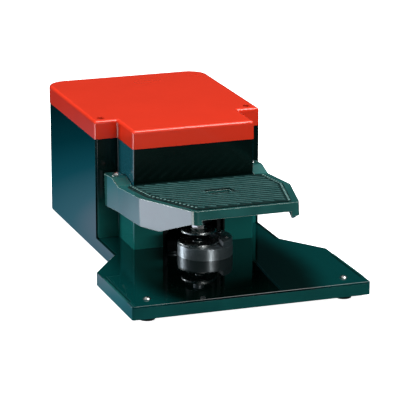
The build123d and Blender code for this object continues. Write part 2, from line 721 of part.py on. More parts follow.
with BuildPart() as press_plate:
    with BuildSketch(Plane.XY.offset(45)):
        mirrored_outline(PLATE_EDGE, [7, 12, 14, 6])
    extrude(amount=50)
    with BuildSketch(side_plane(-100)):
        plate_side_profile(0)
    extrude(amount=200, mode=Mode.INTERSECT)
    add(plate_hollow.part, mode=Mode.SUBTRACT)
    with BuildSketch(Plane.XY.offset(40)):
        with Locations((0, 40 + PLATE_BACK_Y)):
            Rectangle(2 * ARM_INNER, 80)
    extrude(amount=60, mode=Mode.SUBTRACT)
    with BuildSketch(front_plane(-160)):
        with Locations((0, 60)):
            Rectangle(88, 24.8)
    extrude(amount=20, mode=Mode.SUBTRACT)
    with BuildSketch(Plane.XY.offset(70)):
        with Locations(WINDOW):
            RectangleRounded(*WINDOW_SIZE, 1.5)
        with Locations(*[(side * 70.2, 8) for side in SIDES], *RIVETS):
            Circle(2.2)
    extrude(amount=30, mode=Mode.SUBTRACT)
save_plate_piece(press_plate, "press_plate")

with BuildPart() as tread_pad:
    with BuildSketch(Plane.XY.offset(PLATE_TOP)):
        mirrored_outline([(70, -24.5), (69.2, -83), (46.3, -165.5)], [2, 12, 4])
        with Locations(WINDOW):
            RectangleRounded(WINDOW_SIZE[0], WINDOW_SIZE[1], 1.5, mode=Mode.SUBTRACT)
    extrude(amount=1.2)
save_plate_piece(tread_pad, "tread_pad")

BLOCK_X = (64.4, 75.6)
BLOCK_TOP = LUG_TOP - PLATE_T - 0.05

for side, side_name in zip(SIDES, ("left", "right")):
    with BuildPart() as hinge_block:
        with BuildSketch(side_plane(min(side * BLOCK_X[0], side * BLOCK_X[1]))):
            with BuildLine():
                FilletPolyline(
                    (2.5, 66), (22.6, 66), (22.6, BLOCK_TOP), (2.5, BLOCK_TOP),
                    radius=[5, 4, 1, 1], close=True,
                )
            make_face()
            with Locations((PLATE_HINGE_Y, PLATE_HINGE_Z)):
                Circle(7, mode=Mode.SUBTRACT)
        extrude(amount=BLOCK_X[1] - BLOCK_X[0])
        with BuildSketch(Plane((side * 70.2, 8, LUG_TOP - 8))):
            Circle(2)
        extrude(amount=10, mode=Mode.SUBTRACT)
    save_plate_piece(hinge_block, f"hinge_block_{side_name}")

with BuildPart() as hinge_bushes:
    for x in (-BLOCK_X[1], BLOCK_X[0]):
        tube(x, x + BLOCK_X[1] - BLOCK_X[0], PLATE_HINGE_Y, PLATE_HINGE_Z, 7, SHAFT_R + RUNNING)
save_plate_piece(hinge_bushes, "hinge_bushes")

with BuildPart() as lug_screws:
    for side in SIDES:
        screw((side * 70.2, 8, LUG_TOP), 2, 7.4, 4.6, 3.6, domed=True)
        cross_recess((side * 70.2, 8, LUG_TOP), 3.6, 2.2)
save_plate_piece(lug_screws, "lug_screws")

BRACKET_TOP = PLATE_TOP - PLATE_T

with BuildPart() as roller_bracket:
    with BuildSketch(Plane((WORK_X, WORK_Y - 5, BRACKET_TOP))):
        RectangleRounded(26, 24, 3)
    extrude(amount=-2)
    for ear in (-9, 6):
        with BuildSketch(side_plane(WORK_X + ear)):
            with BuildLine():
                FilletPolyline(
                    (WORK_Y - 5.5, BRACKET_TOP - 2), (WORK_Y - 4.2, 67.4), (WORK_Y + 4.2, 67.4),
                    (WORK_Y + 5.5, BRACKET_TOP - 2), radius=[0, 3.4, 3.4, 0], close=True,
                )
            make_face()
        extrude(amount=3)
    with BuildSketch(side_plane(WORK_X - 12)):
        with Locations((WORK_Y, ROLLER_Z)):
            Circle(ROLLER_PIN_R)
    extrude(amount=24, mode=Mode.SUBTRACT)
    with BuildSketch(Plane.XY.offset(BRACKET_TOP - 3)):
        with Locations(*RIVETS):
            Circle(2)
    extrude(amount=4, mode=Mode.SUBTRACT)
save_plate_piece(roller_bracket, "roller_bracket")

with BuildPart() as bracket_rivets:
    for x, y in RIVETS:
        screw((x, y, BRACKET_TOP - 2), 2, 2 + PLATE_T, 3.4, 1.8, domed=True, towards=(0, 0, -1))
save_plate_piece(bracket_rivets, "bracket_rivets")

with BuildPart() as roller_pin:
    rod(WORK_X - 10.2, WORK_X + 10.2, WORK_Y, ROLLER_Z, ROLLER_PIN_R)
save_plate_piece(roller_pin, "roller_pin")

with BuildPart() as press_roller:
    tube(WORK_X - ROLLER_HALF, WORK_X + ROLLER_HALF, WORK_Y, ROLLER_Z, ROLLER_R, ROLLER_PIN_R + RUNNING)
    chamfer(press_roller.edges().filter_by(lambda e: e.length > 20), 0.5)
save_plate_piece(press_roller, "press_roller")

# ================================================================ housing panels
PANEL_MID = HOUSING_HALF - SHEET / 2
REAR_SCREWS = [(side * (RETURN_X + 7), z) for side in SIDES for z in (16, 62, 108)]

for side, side_name in zip(SIDES, ("left", "right")):
    with BuildPart() as side_panel:
        with BuildSketch(Plane.XY.offset(FOOT_H)):
            with BuildLine():
                FilletPolyline(
                    (side * PANEL_MID, FLARE_REAR_Y), (side * PANEL_MID, REAR_Y - SHEET / 2),
                    (side * RETURN_X, REAR_Y - SHEET / 2), radius=REAR_CORNER_R - SHEET / 2,
                )
            trace(line_width=SHEET)
        extrude(amount=HOUSING_TOP - FOOT_H)
        with BuildSketch(side_plane(-100)):
            with Locations((HOUSING_FRONT_Y - 50, DECK_TOP + 60)):
                Rectangle(100, 120)
        extrude(amount=200, mode=Mode.SUBTRACT)
        with BuildSketch(front_plane(REAR_Y + 1)):
            with Locations(*REAR_SCREWS):
                Circle(2.1)
        extrude(amount=4, mode=Mode.SUBTRACT)
    save(side_panel, f"side_panel_{side_name}")

with BuildPart() as front_shell:
    inner = HOUSING_HALF - SHEET - 0.1
    with BuildSketch(Plane.XY.offset(DECK_TOP)):
        with BuildLine():
            FilletPolyline(
                (-inner + 0.75, 44), (-inner + 0.75, HOUSING_FRONT_Y + 0.75),
                (-NOSE_HALF + 0.75, HOUSING_FRONT_Y + 0.75), (-NOSE_HALF + 0.75, NOSE_FRONT_Y + 0.75),
                (NOSE_HALF - 0.75, NOSE_FRONT_Y + 0.75), (NOSE_HALF - 0.75, HOUSING_FRONT_Y + 0.75),
                (inner - 0.75, HOUSING_FRONT_Y + 0.75), (inner - 0.75, 44),
                radius=1.2,
            )
        trace(line_width=SHEET)
    extrude(amount=HOUSING_TOP - DECK_TOP)
    with BuildSketch(front_plane(0)):
        with Locations((0, (DECK_TOP + THROAT_TOP) / 2)):
            RectangleRounded(2 * THROAT_HALF, THROAT_TOP - DECK_TOP + 12, 6)
        with Locations((0, DECK_TOP + 10)):
            Rectangle(2 * THROAT_HALF, 20)
    extrude(amount=30, mode=Mode.SUBTRACT)
    with BuildSketch(side_plane(-100)):
        with Locations((PLATE_HINGE_Y, PLATE_HINGE_Z)):
            Circle(SHAFT_R + 0.1)
    extrude(amount=200, mode=Mode.SUBTRACT)
save(front_shell, "front_shell")

with BuildPart() as throat_trim:
    with BuildSketch(front_plane(-16.4)):
        with BuildLine():
            FilletPolyline(
                (-THROAT_HALF + 0.9, DECK_TOP + 0.1), (-THROAT_HALF + 0.9, THROAT_TOP + 5.1),
                (THROAT_HALF - 0.9, THROAT_TOP + 5.1), (THROAT_HALF - 0.9, DECK_TOP + 0.1),
                radius=5.1,
            )
        trace(line_width=1.8)
    extrude(amount=3.4)
save(throat_trim, "throat_trim")

with BuildPart() as rear_panel:
    with BuildSketch(front_plane(REAR_Y - SHEET - 0.1)):
        with Locations((0, (FOOT_H + HOUSING_TOP) / 2)):
            RectangleRounded(2 * RETURN_X + 28, HOUSING_TOP - FOOT_H - 1, 3)
        with Locations(*REAR_SCREWS):
            Circle(2.1, mode=Mode.SUBTRACT)
    extrude(amount=SHEET)
save(rear_panel, "rear_panel")

with BuildPart() as rear_screws:
    for x, z in REAR_SCREWS:
        screw((x, REAR_Y, z), 2, 3.8, 3.6, 1.8, domed=True, towards=(0, 1, 0))
        cross_recess((x, REAR_Y, z), 1.8, 1.9, towards=(0, 1, 0))
save(rear_screws, "rear_screws")

RAIL_OUT = HOUSING_HALF - SHEET - 0.1
RAIL_FLANGE_Z = HOUSING_TOP - SHEET

with BuildPart() as cover_rails:
    for side in SIDES:
        with BuildSketch(Plane.XY.offset(RAIL_FLANGE_Z)):
            with BuildLine():
                Polyline(
                    (side * 68, 33), (side * (RAIL_OUT - SHEET - 0.1), 33),
                    (side * (RAIL_OUT - SHEET - 0.1), 46), (side * RAIL_OUT, 46),
                    (side * RAIL_OUT, 186), (side * 68, 186), close=True,
                )
            make_face()
        extrude(amount=SHEET)
        with BuildSketch(Plane.XY.offset(104)):
            with Locations((side * (RAIL_OUT - SHEET / 2), 116)):
                Rectangle(SHEET, 140)
        extrude(amount=HOUSING_TOP - 104)
    with BuildSketch(Plane.XY.offset(RAIL_FLANGE_Z)):
        with Locations(*COVER_SCREW_XY):
            Circle(2.1)
    extrude(amount=SHEET, mode=Mode.SUBTRACT)
save(cover_rails, "cover_rails")

# ================================================================ cover
with BuildPart() as top_cover:
    with BuildSketch(Plane.XY.offset(COVER_Z)):
        cover_outline()
    extrude(amount=COVER_TOP - COVER_Z)
    fillet(top_cover.edges().group_by(Axis.Z)[-1], 3.0)
    with BuildSketch(Plane.XY.offset(COVER_Z)):
        cover_outline(COVER_WALL)
    extrude(amount=COVER_TOP - COVER_Z - COVER_WALL, mode=Mode.SUBTRACT)
    with BuildSketch(Plane.XY.offset(COVER_Z)):
        with Locations(*COVER_SCREW_XY):
            Circle(6)
    extrude(amount=COVER_TOP - COVER_Z - 1)
    with BuildSketch(Plane.XY.offset(COVER_Z)):
        with Locations(*COVER_SCREW_XY):
            Circle(2.2)
    extrude(amount=COVER_TOP - COVER_Z, mode=Mode.SUBTRACT)
    with BuildSketch(Plane.XY.offset(COVER_TOP)):
        with Locations(*COVER_SCREW_XY):
            Circle(3.8)
    extrude(amount=-3.0, mode=Mode.SUBTRACT)
save(top_cover, "top_cover")

with BuildPart() as cover_screws:
    for x, y in COVER_SCREW_XY:
        screw((x, y, COVER_TOP - 3.0), 2, 21, 3.5, 2.2, domed=True)
        cross_recess((x, y, COVER_TOP - 3.0), 2.2, 1.8)
save(cover_screws, "cover_screws")
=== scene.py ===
"""Looks for the snap setting press: materials, tread relief, return spring, studio and camera.

Sizes are in metres unless a name ends in mm.
"""
import json
import math

import bmesh
import bpy
from mathutils import Matrix, Vector


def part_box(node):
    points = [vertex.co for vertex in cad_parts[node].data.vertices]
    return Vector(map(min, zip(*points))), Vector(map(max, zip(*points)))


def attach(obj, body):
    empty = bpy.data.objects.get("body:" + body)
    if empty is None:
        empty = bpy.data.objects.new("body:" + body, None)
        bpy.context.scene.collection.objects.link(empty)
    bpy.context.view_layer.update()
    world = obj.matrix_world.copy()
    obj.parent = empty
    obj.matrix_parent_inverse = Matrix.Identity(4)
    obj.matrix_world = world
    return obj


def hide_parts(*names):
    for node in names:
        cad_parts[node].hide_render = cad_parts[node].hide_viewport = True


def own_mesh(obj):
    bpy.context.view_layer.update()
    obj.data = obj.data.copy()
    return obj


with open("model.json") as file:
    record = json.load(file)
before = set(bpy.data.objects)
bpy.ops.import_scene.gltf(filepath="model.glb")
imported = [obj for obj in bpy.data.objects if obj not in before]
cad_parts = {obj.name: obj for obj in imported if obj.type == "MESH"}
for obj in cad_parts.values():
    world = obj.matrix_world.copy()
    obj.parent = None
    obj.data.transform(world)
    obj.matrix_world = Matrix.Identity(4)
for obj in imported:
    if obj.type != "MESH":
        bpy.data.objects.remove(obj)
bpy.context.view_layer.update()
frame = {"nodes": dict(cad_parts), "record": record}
nodes = frame["nodes"]

MM = 0.001

# Finishes shared by several materials.
ENAMEL_IOR, ENAMEL_SPECULAR = 1.55, 0.1
EDGE_LOW, EDGE_HIGH = 0.02, 0.25                            # how far a bevelled normal turns away at an edge
RING_PITCH_MM, RING_DEPTH_MM = 0.35, 0.0015                 # lathe marks
BOUNCE_TOP, BOUNCE_FULL, BOUNCE_WAVER = 0.085, 0.030, 0.008       # heights of the painted bounce light low on the shell, lighter towards the bottom
# painted shade on the deck, darkest in an oval around the dies
SHADE_CENTRE, SHADE_SHAPE = (-0.005, -0.120, 0.019), (1, 0.55, 0)
SHADE_INNER, SHADE_OUTER, SHADE_WAVER = 0.072, 0.104, 0.008       # edge of the painted shade patch on the deck, with a painted teal reflection beyond it

# Tread plate: diagonal ridges inside a row of pips, and a raised frame round the window.
SHORT_SIDE = 0.006           # sides of the outline shorter than this are its corner roundings
SINK = 0.0003                # how far the relief reaches down into the pad
CREST_SHARE, END_SHARE = 0.45, 1 / 3                        # a ridge's crest and end slopes, by its width
RIDGE_TURN = math.radians(-50)
RIDGE_PITCH, RIDGE_WIDTH, RIDGE_HEIGHT, RIDGE_COUNT = 0.0088, 0.0036, 0.0007, 14
RIDGE_MARGIN_LEFT, RIDGE_MARGIN_RIGHT, RIDGE_MARGIN_END = 0.0065, 0.0055, 0.0055
ROW_GAP, PIP_PITCH, PIP_RADIUS, PIP_HEIGHT, PIP_SIDES = 0.0032, 0.0065, 0.0012, 0.0007, 10
FRAME_GAP, FRAME_WIDTH = 0.0022, 0.0012

# Return spring, inside the housing.
SPRING_WIRE_R, SPRING_TURNS, SPRING_CLOSED = 0.0011, 5.5, 0.75
COIL_STEPS, WIRE_SIDES = 36, 10

# Studio: what the eye sees, what the gloss paint mirrors on the ground and on the walls, then the lamps.
# A stop is (distance or height, colour).
WORLD_STRENGTH = 0.18
FLOOR_HALF, FLOOR_GLOW = 12, 1.0
FLOOR_TONES = (0.80, 0.80, 0.80), (0.82, 0.82, 0.82)
BACKDROP_RADIUS, BACKDROP_STRENGTH = 11.0, 1.0
POOL_HALF, POOL_HEIGHT = 4, -0.0005
POOL_CENTRE, POOL_REACH, POOL_STRENGTH = (-0.36, 0.05, 0), 0.8, 3.5
POOL_STOPS = [
    (0.00, (0.85, 0.85, 1.0)), (0.09, (0.85, 0.85, 1.0)), (0.19, (0.20, 0.23, 0.29)),
    (0.24, (0.09, 0.12, 0.16)), (0.28, (0.024, 0.08, 0.11)), (0.35, (0.003, 0.043, 0.062)),
    (0.45, (0.0, 0.019, 0.028)), (0.60, (0.0, 0.005, 0.008)),
]
CARD_LEFT, CARD_RIGHT, CARD_FRONT, CARD_BACK = -0.62, -0.40, -0.40, -0.05
CARD_HEIGHT, CARD_STRENGTH = -0.0003, 5.0
SKY_RADIUS, SKY_STRENGTH = 5.0, 1.0
SKY_STOPS = [
    (0.0, (0.006, 0.03, 0.03)), (1.6, (0.004, 0.02, 0.02)), (3.0, (0.08, 0.10, 0.11)),
    (SKY_RADIUS, (0.5, 0.5, 0.5)),
]
DOME_SEGMENTS, DOME_RINGS = 48, 24
LAMPS = [
    # name, place, target, size, power, colour, whether it lights matte surfaces, whether gloss mirrors it
    ("top_box", (0.25, -0.16, 1.5), (0, 0, 0.05), (1.3, 1.3), 36, (1, 1, 1), True, False),
    ("edge_box", (0.62, -0.55, 1.5), (0, 0, 0.05), (0.7, 0.7), 11, (1, 1, 1), False, True),
    ("left_box", (-1.3, 0.35, 0.45), (0, -0.05, 0.04), (0.5, 0.5), 13, (0.92, 0.95, 1.0), True, False),
    ("low_front", (0.45, -1.1, 0.07), (0.03, -0.03, 0.03), (0.5, 0.12), 4, (1, 1, 1), True, False),
    ("left_glint", (-0.9, 0.55, 0.07), (0, -0.06, 0.03), (0.16, 0.12), 6, (0.95, 0.96, 1.0), False, True),
    ("front_glint", (0.15, -1.5, 0.10), (0, -0.06, 0.03), (0.10, 0.18), 4.3, (1, 0.97, 0.96), False, True),
]

# Camera: a long lens, from the front left and above.
CAMERA_PLACE = (-0.7829, -2.2903, 0.7537)
CAMERA_YAW, CAMERA_PITCH = math.radians(19.24), math.radians(16.08)
SENSOR_MM, LENS_MM, CLIP_END = 36, 228.2, 50


def add_object(name, data):
    obj = bpy.data.objects.new(name, data)
    bpy.context.scene.collection.objects.link(obj)
    return obj


# ---------------------------------------------------------------- material helpers
class Surface:
    """One procedural Principled material, built a step at a time in object coordinates."""

    def __init__(self, name, **sockets):
        self.material = bpy.data.materials.new(name)
        self.material.use_nodes = True
        self.tree = self.material.node_tree
        self.shader = self.tree.nodes["Principled BSDF"]
        for socket, value in sockets.items():
            self.shader.inputs[socket.replace("_", " ")].default_value = value
        self.place = self.add("ShaderNodeTexCoord").outputs["Object"]

    def add(self, kind, **settings):
        node = self.tree.nodes.new(kind)
        for key, value in settings.items():
            setattr(node, key, value)
        return node

    def link(self, source, target):
        self.tree.links.new(source, target)

    def noise(self, size_mm, detail=3.0, rough=0.55, stretch=(1, 1, 1)):
        """Noise between 0 and 1 whose blobs are about size_mm across."""
        mapping = self.add("ShaderNodeMapping")
        mapping.inputs["Scale"].default_value = stretch
        self.link(self.place, mapping.inputs["Vector"])
        node = self.add("ShaderNodeTexNoise")
        node.inputs["Scale"].default_value = 1 / (size_mm * MM)
        node.inputs["Detail"].default_value = detail
        node.inputs["Roughness"].default_value = rough
        self.link(mapping.outputs["Vector"], node.inputs["Vector"])
        return node.outputs["Fac"]

    def ramp(self, value, low, high, out_low=0.0, out_high=1.0):
        """Maps value from low..high to out_low..out_high, clamped."""
        node = self.add("ShaderNodeMapRange", interpolation_type="SMOOTHSTEP")
        limits = {"From Min": low, "From Max": high, "To Min": out_low, "To Max": out_high}
        for socket, number in limits.items():
            node.inputs[socket].default_value = number
        self.link(value, node.inputs["Value"])
        return node.outputs["Result"]

    def math(self, operation, a, b):
        node = self.add("ShaderNodeMath", operation=operation)
        for socket, value in zip(node.inputs, (a, b)):
            if isinstance(value, (int, float)):
                socket.default_value = value
            else:
                self.link(value, socket)
        return node.outputs[0]

    def mix(self, factor, a, b):
        """Mixes two colours; each is a tuple or a socket."""
        node = self.add("ShaderNodeMix", data_type="RGBA")
        self.link(factor, node.inputs[0])
        for socket, value in ((node.inputs[6], a), (node.inputs[7], b)):
            if isinstance(value, tuple):
                socket.default_value = (*value, 1.0)
            else:
                self.link(value, socket)
        return node.outputs[2]

    def part(self, axis):
        """One coordinate of the place on the surface, in metres."""
        split = self.add("ShaderNodeSeparateXYZ")
        self.link(self.place, split.inputs[0])
        return split.outputs[axis]

    def facing(self, axis):
        """One coordinate of the surface's outward direction."""
        split = self.add("ShaderNodeSeparateXYZ")
        self.link(self.add("ShaderNodeNewGeometry").outputs["Normal"], split.inputs[0])
        return split.outputs[axis]

    def away_from(self, centre, shape):
        """Distance from centre in metres, with each axis scaled by shape."""
        away = self.add("ShaderNodeVectorMath", operation="SUBTRACT")
        self.link(self.place, away.inputs[0])
        away.inputs[1].default_value = centre
        scaled = self.add("ShaderNodeVectorMath", operation="MULTIPLY")
        self.link(away.outputs[0], scaled.inputs[0])
        scaled.inputs[1].default_value = shape
        length = self.add("ShaderNodeVectorMath", operation="LENGTH")
        self.link(scaled.outputs[0], length.inputs[0])
        return length.outputs["Value"]

    def colour(self, socket):
        self.link(socket, self.shader.inputs["Base Color"])

    def roughness(self, socket):
        self.link(socket, self.shader.inputs["Roughness"])

    def edges(self, radius_mm):
        """Mask of the sharp edges, and the bevelled normal itself."""
        bevel = self.add("ShaderNodeBevel", samples=6)
        bevel.inputs["Radius"].default_value = radius_mm * MM
        geometry = self.add("ShaderNodeNewGeometry")
        dot = self.add("ShaderNodeVectorMath", operation="DOT_PRODUCT")
        self.link(bevel.outputs["Normal"], dot.inputs[0])
        self.link(geometry.outputs["Normal"], dot.inputs[1])
        turned_away = self.math("SUBTRACT", 1.0, dot.outputs["Value"])
        return self.ramp(turned_away, EDGE_LOW, EDGE_HIGH), bevel.outputs["Normal"]

    def bump(self, height, depth_mm, strength, under=None):
        node = self.add("ShaderNodeBump")
        node.inputs["Strength"].default_value = strength
        node.inputs["Distance"].default_value = depth_mm * MM
        self.link(height, node.inputs["Height"])
        if under is not None:
            self.link(under, node.inputs["Normal"])
        self.link(node.outputs["Normal"], self.shader.inputs["Normal"])


def enamel(name, dark, light, rough=0.10, low_bounce=None, side_sheen=None, coat=1.0, coat_rough=0.03,
           bevel_mm=0.9, edge_wear_and_sheen=0.35):
    """Gloss stove enamel: faint mottling, orange peel, thin paint on the edges; a pale edge colour there is
    a painted highlight.

    The low and side colours are painted light: floor bounce light low down, and a sheen on the side faces.
    """
    s = Surface(name, Coat_Weight=coat, Coat_Roughness=coat_rough, Coat_IOR=ENAMEL_IOR,
                Specular_IOR_Level=ENAMEL_SPECULAR)
    edge, normal = s.edges(bevel_mm)
    cloud = s.ramp(s.noise(45, 4), 0.35, 0.7)
    spare = 0.25 * edge_wear_and_sheen      # a higher edge amount spares less of the paint along an edge, and widens a painted edge highlight where the edge colour is pale
    worn = s.math("MULTIPLY", edge, s.ramp(s.noise(3.0, 5, 0.7), 0.45 - spare, 0.65 - spare))
    body = s.mix(cloud, dark, tuple(c * 1.35 for c in dark))
    # painted sheen: faces turned to the sides are painted lighter
    if side_sheen:
        body = s.mix(s.ramp(s.math("ABSOLUTE", s.facing("X"), 0.0), 0.6, 0.95), body, side_sheen)
    # painted bounce light: the paint turns lighter towards the bottom
    if low_bounce:
        height = s.math("ADD", s.part("Z"), s.math("MULTIPLY", s.noise(25, 3), BOUNCE_WAVER))
        body = s.mix(s.ramp(height, BOUNCE_TOP, BOUNCE_FULL), body, low_bounce)
    # worn edges take the edge colour: wear, and on the press plate a painted highlight
    s.colour(s.mix(s.math("MULTIPLY", worn, edge_wear_and_sheen), body, light))
    s.roughness(s.ramp(s.noise(14, 4), 0.3, 0.75, rough * 0.75, rough * 1.5))
    s.bump(s.noise(2.5, 2), 0.004, 0.15, normal)
    return s.material


def deck_enamel(name, shaded_middle, lit_sides, light):
    """Enamel of the working deck: painted shade, dark around the dies and under the press plate, and a
    painted teal reflection towards the sides.
    """
    s = Surface(name, Coat_Weight=1.0, Coat_Roughness=0.02, Coat_IOR=ENAMEL_IOR,
                Specular_IOR_Level=ENAMEL_SPECULAR)
    edge, normal = s.edges(0.9)
    spread = s.away_from(SHADE_CENTRE, SHADE_SHAPE)
    waver = s.math("MULTIPLY", s.noise(30, 4), SHADE_WAVER)
    # painted shade fading into a painted teal reflection away from the dies
    body = s.mix(s.ramp(s.math("ADD", spread, waver), SHADE_INNER, SHADE_OUTER), shaded_middle, lit_sides)
    worn = s.math("MULTIPLY", edge, s.ramp(s.noise(3.0, 5, 0.7), 0.40, 0.65))
    s.colour(s.mix(s.math("MULTIPLY", worn, 0.6), body, light))
    s.roughness(s.ramp(s.noise(14, 4), 0.3, 0.75, 0.04, 0.10))
    s.bump(s.noise(3.0, 2), 0.003, 0.12, normal)
    return s.material


def moulded(name, dark, light, rough=0.22):
    """Gloss moulded plastic: slight flow marks, soft texture, paler rubbed edges."""
    s = Surface(name, Coat_Weight=1.0, Coat_Roughness=0.05, IOR=1.5, Specular_IOR_Level=0.3)
    edge, normal = s.edges(0.6)
    cloud = s.ramp(s.noise(60, 5, 0.6), 0.3, 0.75)
    body = s.mix(cloud, dark, tuple(min(1.0, c * 1.05) for c in dark))
    rubbed = s.math("MULTIPLY", edge, s.ramp(s.noise(12, 3), 0.45, 0.75))
    s.colour(s.mix(s.math("MULTIPLY", rubbed, 0.12), body, light))
    s.roughness(s.ramp(s.noise(40, 3), 0.2, 0.8, rough * 0.92, rough * 1.10))
    s.bump(s.noise(8, 2), 0.002, 0.10, normal)
    return s.material


def metal(name, colour, rough, mark_mm=0.6, stretch=(1, 1, 1), depth_mm=0.002, grime=(0.12, 0.11, 0.10)):
    """Machined or plated metal: fine marks, longer along an axis that stretch shrinks, and dull patches."""
    s = Surface(name, Metallic=1.0)
    edge, _ = s.edges(0.3)
    dull = s.ramp(s.noise(7, 5, 0.65), 0.5, 0.85)
    body = s.mix(dull, colour, tuple(c * 0.72 + g * 0.28 for c, g in zip(colour, grime)))
    s.colour(s.mix(s.math("MULTIPLY", edge, 0.6), body, tuple(min(1, c * 1.25) for c in colour)))
    s.roughness(s.ramp(s.noise(4, 4), 0.3, 0.75, rough * 0.8, rough * 1.3))
    s.bump(s.noise(mark_mm, 2, 0.5, stretch), depth_mm, 0.4)
    return s.material


def turned(name, colour, rough, centre, brushed=0.0, metallic=1.0):
    """Lathe-turned or polished metal: fine rings about a vertical axis through centre."""
    s = Surface(name, Metallic=metallic, Anisotropic=brushed, Anisotropic_Rotation=0.25)
    edge, _ = s.edges(0.3)
    rings = s.add("ShaderNodeTexNoise", noise_dimensions="1D")
    rings.inputs["Scale"].default_value = 1 / (RING_PITCH_MM * MM)
    rings.inputs["Detail"].default_value = 3
    s.link(s.away_from(centre, (1, 1, 0)), rings.inputs["W"])
    dull = s.ramp(s.noise(6, 5, 0.65), 0.5, 0.85)
    body = s.mix(dull, colour, tuple(c * 0.8 for c in colour))
    s.colour(s.mix(s.math("MULTIPLY", edge, 0.5), body, tuple(min(1, c * 1.25) for c in colour)))
    s.roughness(s.ramp(s.noise(3, 4), 0.3, 0.75, rough * 0.8, rough * 1.3))
    s.bump(rings.outputs["Fac"], RING_DEPTH_MM, 0.4)
    if brushed:
        tangent = s.add("ShaderNodeTangent", direction_type="RADIAL", axis="Z")
        s.link(tangent.outputs[0], s.shader.inputs["Tangent"])
    return s.material


def rubber(name, dark, light, rough=0.6, specular=0.2):
    """Moulded rubber: matte, dusty, with a fine grain."""
    s = Surface(name, IOR=1.5, Specular_IOR_Level=specular)
    edge, normal = s.edges(0.4)
    dust = s.ramp(s.noise(12, 6, 0.7), 0.4, 0.8)
    pale = s.math("MAXIMUM", s.math("MULTIPLY", dust, 0.5), s.math("MULTIPLY", edge, 0.7))
    s.colour(s.mix(pale, dark, light))
    s.roughness(s.ramp(s.noise(5, 4), 0.3, 0.7, rough * 0.8, min(1.0, rough * 1.25)))
    s.bump(s.noise(0.5, 3), 0.03, 0.4, normal)
    return s.material


# ---------------------------------------------------------------- materials
GREEN_EDGE = (0.03, 0.14, 0.13)
# colour of the painted bounce light low on the shell
LOW_BOUNCE = (0.0100, 0.1500, 0.1350)
# colour of the painted sheen on the shell's side faces
SIDE_SHEEN = (0.0100, 0.0900, 0.1150)
green = enamel("green_enamel", (0.0006, 0.0060, 0.0048), GREEN_EDGE)
# the shell's paint carries painted bounce light low down and a painted sheen on its side faces
shell_green = enamel("shell_enamel", (0.0005, 0.0055, 0.0042), GREEN_EDGE, low_bounce=LOW_BOUNCE,
                     side_sheen=SIDE_SHEEN, coat=0.55, coat_rough=0.16, bevel_mm=0.4)
tray_green = enamel("tray_enamel", (0.0060, 0.062, 0.057), (0.05, 0.18, 0.16), coat=0.75)
# deck colours: painted shade in the middle, painted teal reflection towards the sides
deck_green = deck_enamel("deck_enamel", (0.0003, 0.0030, 0.0022), (0.0008, 0.036, 0.035), (0.04, 0.16, 0.15))
# painted highlight: the press plate's near-white edge colour at full weight draws pale rim lines along its
# edges
plate_green = enamel("plate_enamel", (0.0170, 0.090, 0.083), (0.60, 0.75, 0.70), rough=0.12, edge_wear_and_sheen=1.0)
red = moulded("red_cover", (0.80, 0.036, 0.010), (0.90, 0.30, 0.24))
tread = rubber("tread_rubber", (0.001, 0.013, 0.012), (0.006, 0.034, 0.032), rough=0.8)
ridge = rubber("tread_ridge", (0.018, 0.064, 0.061), (0.060, 0.125, 0.118), rough=0.6)
pips = rubber("tread_pips", (0.110, 0.230, 0.215), (0.35, 0.48, 0.45), rough=0.45)
black = rubber("black_rubber", (0.006, 0.008, 0.008), (0.025, 0.028, 0.028), rough=0.75, specular=0.1)
die_low, die_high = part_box("lower_die")
drum_low, drum_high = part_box("die_drum")
polished = turned("polished_die", (0.40, 0.43, 0.42), 0.30, (die_low + die_high) / 2)
turned_steel = turned("turned_steel", (0.40, 0.46, 0.49), 0.42, (drum_low + drum_high) / 2,
                      brushed=0.6, metallic=0.92)
shaft_steel = metal("ground_steel", (0.50, 0.51, 0.52), 0.22, 0.5, (0.1, 1, 1))
plated = metal("plated_screws", (0.80, 0.80, 0.78), 0.20)
dark_screw = metal("dark_screws", (0.16, 0.03, 0.03), 0.30)
zinc = metal("zinc_fasteners", (0.55, 0.56, 0.58), 0.28, 2.0)
# painted shade: the frame steel is near-black so the frame plates inside the throat read as shaded
frame_steel = metal("frame_steel", (0.016, 0.019, 0.020), 0.55, 1.0, depth_mm=0.01,
                    grime=(0.02, 0.02, 0.02))
wire = metal("spring_wire", (0.30, 0.31, 0.32), 0.30, 0.4)
bronze = metal("bronze", (0.55, 0.33, 0.15), 0.32, 0.3, depth_mm=0.005)
nylon = moulded("nylon", (0.70, 0.68, 0.62), (0.80, 0.78, 0.74), rough=0.4)

BY_SLOT = {
    "green_enamel": green, "deck_enamel": deck_green, "red_cover": red, "tread": tread, "rubber": black,
    "polished_die": polished, "turned_steel": turned_steel, "plated_screws": plated,
    "dark_screws": dark_screw, "zinc_fasteners": zinc, "frame_steel": frame_steel,
    "spring_steel": wire, "bronze": bronze, "nylon": nylon,
}
BY_NODE = {
    "press_plate": plate_green, "base_tray": tray_green, "front_shell": shell_green,
    "hinge_shaft": shaft_steel, "arm_pivot_shaft": shaft_steel, "roller_pin": shaft_steel,
    "press_roller": shaft_steel,
}
for part in frame["record"]["subparts"]:
    material = BY_NODE.get(part["node"], BY_SLOT[part["material_slot"]])
    mesh = nodes[part["node"]].data
    mesh.materials.clear()
    mesh.materials.append(material)


